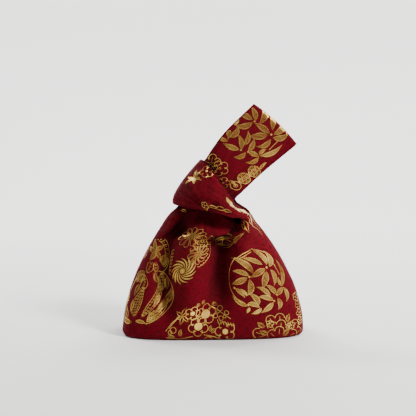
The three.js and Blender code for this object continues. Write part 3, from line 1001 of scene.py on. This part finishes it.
def spray_crest(art, radius):
    """A light spray in fine outline: three rings of petals with small blossoms between them."""
    fine = LINE * 0.85
    for ring, count in ((0.8, 15), (0.56, 11), (0.32, 7)):
        for k in range(count):
            angle = k * math.tau / count + ring
            middle = polar(radius * ring, angle)
            size = radius * 0.17
            root = middle - polar(size * 0.6, angle)
            if k % 3:
                art.arc(middle, size, angle - 1.6, 3.2, fine)
                art.line([root, middle + polar(size * 0.4, angle)], fine * 0.7)
            else:
                art.leaf(root, middle + polar(size * 1.3, angle + 0.2), size, 0.1, 2)
    for k in range(5):
        middle = polar(radius * 0.68, k * math.tau / 5 + 0.5)
        blossom(art, middle, radius * 0.14, k, width=fine, stamens=False)


def blossom_crest(art, radius):
    """One open blossom in fine outline."""
    blossom(art, (0, 0), radius, width=LINE * 0.9, stamens=radius > STAMENS_FROM)


def star_crest(art, radius):
    """A knuckle of short leaves all round, with a bright heart."""
    for k in range(6):
        angle = k * math.tau / 6 + 0.2 * (k % 2)
        art.leaf((0, 0), polar(radius * (1 - 0.2 * (k % 2)), angle), radius * 0.28, 0.06, 2)
    art.disc((0, 0), radius * 0.1)


def foil_run(art, radius):
    """One long leaf of solid foil from end to end."""
    path = bowed((-radius, 0), (radius, 0), 0.05)
    art.strip(path, lambda s: leaf_half(s, max(radius * 0.5, 0.0085)), 14)


def leaf_run(art, radius):
    """One veined leaf from end to end."""
    art.leaf((-radius, 0), (radius, 0), max(radius * 0.5, 0.003), 0.05, veins=2)


def petal_run(art, radius):
    """One long petal in fine outline."""
    art.leaf((-radius, 0), (radius, 0), max(radius * 0.55, 0.0028), 0.08, veins=0)


def coil_run(art, radius):
    """A row of short slanted petals side by side, as in a twisted cord."""
    count = 8
    for k in range(count):
        x = radius * (2 * (k + 0.5) / count - 1)
        art.stroke(bowed((x - 0.0012, -0.0024), (x + 0.0014, 0.0026), 0.15), LINE * 1.2)


CRESTS = {
    "bamboo": bamboo_crest,
    "plum": plum_crest,
    "whirl": whirl_crest,
    "drops": drop_crest,
    "petals": petals_crest,
    "lace": lace_crest,
    "spray": spray_crest,
    "blossom": blossom_crest,
    "star": star_crest,
}
# Shapes that run from one pixel to another
RUNS = {
    "foil": foil_run,
    "leaf": leaf_run,
    "petal": petal_run,
    "coil": coil_run,
}


def lay_crest(bm_all, draw, chart, centre, radius, turn):
    """Draws one crest in the flat and lays it on the cloth, without what falls past its edge."""
    bm = bmesh.new()
    draw(Artwork(bm), radius)
    off = []
    for vert in bm.verts:
        flat = turned(vert.co.xy, turn)
        found = chart.locate(centre[0] + flat.x, centre[1] + flat.y)
        if found is None:
            off.append(vert)
        else:
            point, normal = found
            vert.co = point + normal * LIFT
    bmesh.ops.delete(bm, geom=off, context="VERTS")
    mesh = bpy.data.meshes.new("crest")
    bm.to_mesh(mesh)
    bm.free()
    bm_all.from_mesh(mesh)
    bpy.data.meshes.remove(mesh)


# The print on the front, each shape at its pixel in the photograph: kind, cloth, pixel, then radius
# and turn, or the pixel that a run ends at
FRONT_PRINT = (
    ("bamboo", "body", (258, 280), 0.0335, 0.0),
    ("plum", "body", (201, 337), 0.042, 0.0),
    ("whirl", "left", (192, 250), 0.035, 0.0),
    ("petals", "body", (149, 253), 0.024, 0.1),
    ("drops", "body", (149, 298), 0.031, 0.0),
    ("spray", "body", (279, 350), 0.0325, 0.3),
    ("spray", "body", (122, 297), 0.010, 0.5),
    ("bamboo", "left", (254, 131), 0.0335, -0.35),
    ("blossom", "body", (297, 297), 0.0052, 2.4),
    ("blossom", "body", (299, 305), 0.0052, 3.4),
    ("blossom", "body", (300, 313), 0.005, 3.2),
    ("blossom", "body", (301, 320), 0.0048, 4.4),
    ("lace", "left", (236, 187), 0.0062, 0.0),
    ("lace", "left", (245, 179), 0.0074, 0.3),
    ("lace", "left", (255, 172), 0.0074, 0.6),
    ("leaf", "left", (231, 181), (236, 187)),
    ("leaf", "left", (259, 171), (268, 163)),
    ("coil", "left", (202, 242), (214, 237)),
    ("blossom", "left", (210, 163), 0.0105, 5.8),
    ("blossom", "left", (221, 168), 0.0095, 7.6),
    ("blossom", "left", (222, 182), 0.0075, 6.9),
    ("blossom", "right", (205, 170), 0.0078, 7.2),
    ("star", "right", (193, 177), 0.0125, 0.4),
    ("foil", "right", (227, 196), (241, 211)),
    ("foil", "right", (236, 207), (254, 224)),
    ("petal", "right", (248, 217), (264, 236)),
    ("petal", "right", (243, 221), (250, 234)),
    ("petal", "right", (240, 223), (248, 231)),
    ("leaf", "right", (234, 244), (245, 234)),
    ("blossom", "right", (206, 205), 0.0045, 8.7),
    ("petal", "right", (209, 206), (218, 210)),
    ("petal", "right", (216, 208), (226, 212)),
    ("petal", "right", (223, 210), (233, 214)),
    ("petal", "left", (181, 208), (187, 211)),
    ("leaf", "right", (214, 240), (236, 236)),
    ("leaf", "right", (216, 244), (234, 243)),
    ("petal", "right", (222, 247), (237, 240)),
)
# The print on the back, which is laid out as a front and then mirrored
BACK_PRINT = (
    ("plum", "body", (168, 278), 0.036, 0.8),
    ("bamboo", "body", (250, 318), 0.035, 1.8),
    ("whirl", "body", (214, 236), 0.033, 2.4),
    ("petals", "body", (276, 262), 0.028, 0.2),
    ("whirl", "body", (148, 330), 0.032, 1.2),
    ("lace", "body", (300, 300), 0.018, 0.3),
    ("bamboo", "left", (252, 128), 0.034, 0.2),
    ("drops", "right", (205, 178), 0.026, 2.0),
    ("plum", "right", (262, 226), 0.022, 0.4),
)


def print_piece(name, charts, layout, mirrored):
    bm = bmesh.new()
    for kind, cloth, place, *rest in layout:
        chart = charts[cloth]
        if kind in RUNS:
            start, end = (Vector(chart.at_pixel(pixel)) for pixel in (place, *rest))
            along = end - start
            centre, radius, turn = (start + end) / 2, along.length / 2, math.atan2(along.y, along.x)
        else:
            centre, (radius, turn) = chart.at_pixel(place), rest
        lay_crest(bm, (CRESTS | RUNS)[kind], chart, centre, radius, turn)
    if mirrored:
        bmesh.ops.scale(bm, vec=(1, -1, 1), verts=bm.verts)
    for face in bm.faces:
        face.smooth = True
    return bag_piece(name, bm, gold_foil)


def make_panel(side, folds, hollow, reach, tuck, hang, seed, layout):
    mirrored = side == "back"
    body, handle, band = panel_patches(folds, hollow, reach, tuck, hang, seed)
    centre = ACROSS // 2
    left = np.concatenate([body[:, :centre + 1], handle[1:]])
    right = np.concatenate([body[:, centre:], band[1:]])
    grids = [Chart(body, centre), Chart(handle, centre // 2), Chart(band, centre // 2)]
    base_length = grids[0].v[-1]
    for strip in grids[1:]:
        strip.v = strip.v + base_length
    outer = cloth_piece(f"{side}_cloth", grids, 0, OUTER_CLOTH, mirrored, printed_cotton)
    lining_inset = OUTER_CLOTH + SEAM
    lining = cloth_piece(
        f"{side}_lining_cloth", grids, lining_inset, LINING_CLOTH, mirrored, lining_cotton,
    )
    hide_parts(f"{side}_panel")
    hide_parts(f"{side}_lining")
    charts = {
        "body": Chart(body, centre),
        "left": Chart(left, centre // 2),
        "right": Chart(right, centre // 2),
    }
    gold = print_piece(f"{side}_gold_print", charts, layout, mirrored)


make_panel(
    "front", FRONT_FOLDS, FRONT_HOLLOW, TONGUE_REACH, FRONT_TUCK, FRONT_HANG, FRONT_SEED,
    FRONT_PRINT,
)
make_panel(
    "back", BACK_FOLDS, BACK_HOLLOW, BACK_TONGUE_REACH, BACK_TUCK, BACK_HANG, BACK_SEED,
    BACK_PRINT,
)


# The floor, the backdrop, the light and the camera

PAPER = (0.84, 0.837, 0.834)
SWEEP_HALF, SWEEP_REACH, SWEEP_BACK, SWEEP_BEND, SWEEP_HEIGHT = 4.0, 4.0, 1.3, 0.5, 3.0
# Each lamp's name, place, aim, width, power in watts and colour
LAMPS = (
    ("key_right", (1.22, -0.66, 1.38), (0, 0, 0.1), 0.35, 56, (1, 0.985, 0.97)),
    ("fill_left", (-1.0, -1.1, 0.8), (0, 0, 0.12), 0.9, 0.4, (1, 0.98, 0.97)),
    ("backdrop_left", (-0.9, 0.7, 1.6), (-0.4, 1.3, 0.9), 0.8, 52, (1, 0.985, 0.97)),
    ("backdrop_right", (0.9, 0.7, 1.6), (0.4, 1.3, 0.9), 0.8, 38, (1, 0.99, 0.98)),
)


def stage_material(name, colour):
    material, tree, shader = node_material(name)
    place = add_node(tree, "ShaderNodeTexCoord").outputs["Object"]
    shade = [tone * 0.985 for tone in colour]
    fill_inputs(tree, shader, {
        "Base Color": tint(tree, speckle(tree, place, 1.5, 2), shade, colour),
        "Roughness": 0.9,
    })
    return material


def stage_sheet():
    """A pale sweep: the floor, which curves up into the backdrop."""
    bm = bmesh.new()
    foot = SWEEP_BACK - SWEEP_BEND
    profile = [(-SWEEP_REACH, 0), (foot, 0)]
    profile += [
        (foot + SWEEP_BEND * math.sin(a), SWEEP_BEND * (1 - math.cos(a)))
        for a in np.linspace(0.1, math.pi / 2, 14)
    ]
    profile.append((SWEEP_BACK, SWEEP_HEIGHT))
    verts = [bm.verts.new((-SWEEP_HALF, y, z)) for y, z in profile]
    edges = [bm.edges.new(pair) for pair in zip(verts, verts[1:])]
    made = bmesh.ops.extrude_edge_only(bm, edges=edges)["geom"]
    far = [item for item in made if isinstance(item, bmesh.types.BMVert)]
    bmesh.ops.translate(bm, vec=(2 * SWEEP_HALF, 0, 0), verts=far)
    bmesh.ops.recalc_face_normals(bm, faces=bm.faces)
    for face in bm.faces:
        face.smooth = True
    sweep = new_object("sweep", bm, stage_material("sweep_paper", PAPER))


def area_light(name, place, aim, size, power, colour):
    data = bpy.data.lights.new(name, "AREA")
    data.shape = "SQUARE"
    data.size = size
    data.energy = power
    data.color = colour
    light = bpy.data.objects.new(name, data)
    light.location = place
    light.rotation_euler = (Vector(aim) - Vector(place)).to_track_quat("-Z", "Y").to_euler()
    bpy.context.scene.collection.objects.link(light)


def light_stage():
    """The lamps, and a sky that glows near the horizon and is dim overhead."""
    for lamp in LAMPS:
        area_light(*lamp)
    world = bpy.data.worlds.new("studio")
    world.use_nodes = True
    tree = world.node_tree
    ray = add_node(tree, "ShaderNodeTexCoord").outputs["Generated"]
    height = add_node(tree, "ShaderNodeSeparateXYZ", {"Vector": ray}).outputs["Z"]
    fill_inputs(tree, tree.nodes["Background"], {
        "Strength": spread(tree, height, 0.14, 0.3, 0.3, 0.012),
        "Color": (0.9, 0.9, 0.92, 1),
    })
    bpy.context.scene.world = world


def place_camera():
    data = bpy.data.cameras.new("camera")
    data.lens = LENS
    data.sensor_width = SENSOR
    data.clip_start = 0.01
    camera = bpy.data.objects.new("camera", data)
    camera.location = camera_place
    camera.rotation_euler = camera_forward.to_track_quat("-Z", "Y").to_euler()
    bpy.context.scene.collection.objects.link(camera)
    bpy.context.scene.camera = camera


stage_sheet()
light_stage()
place_camera()
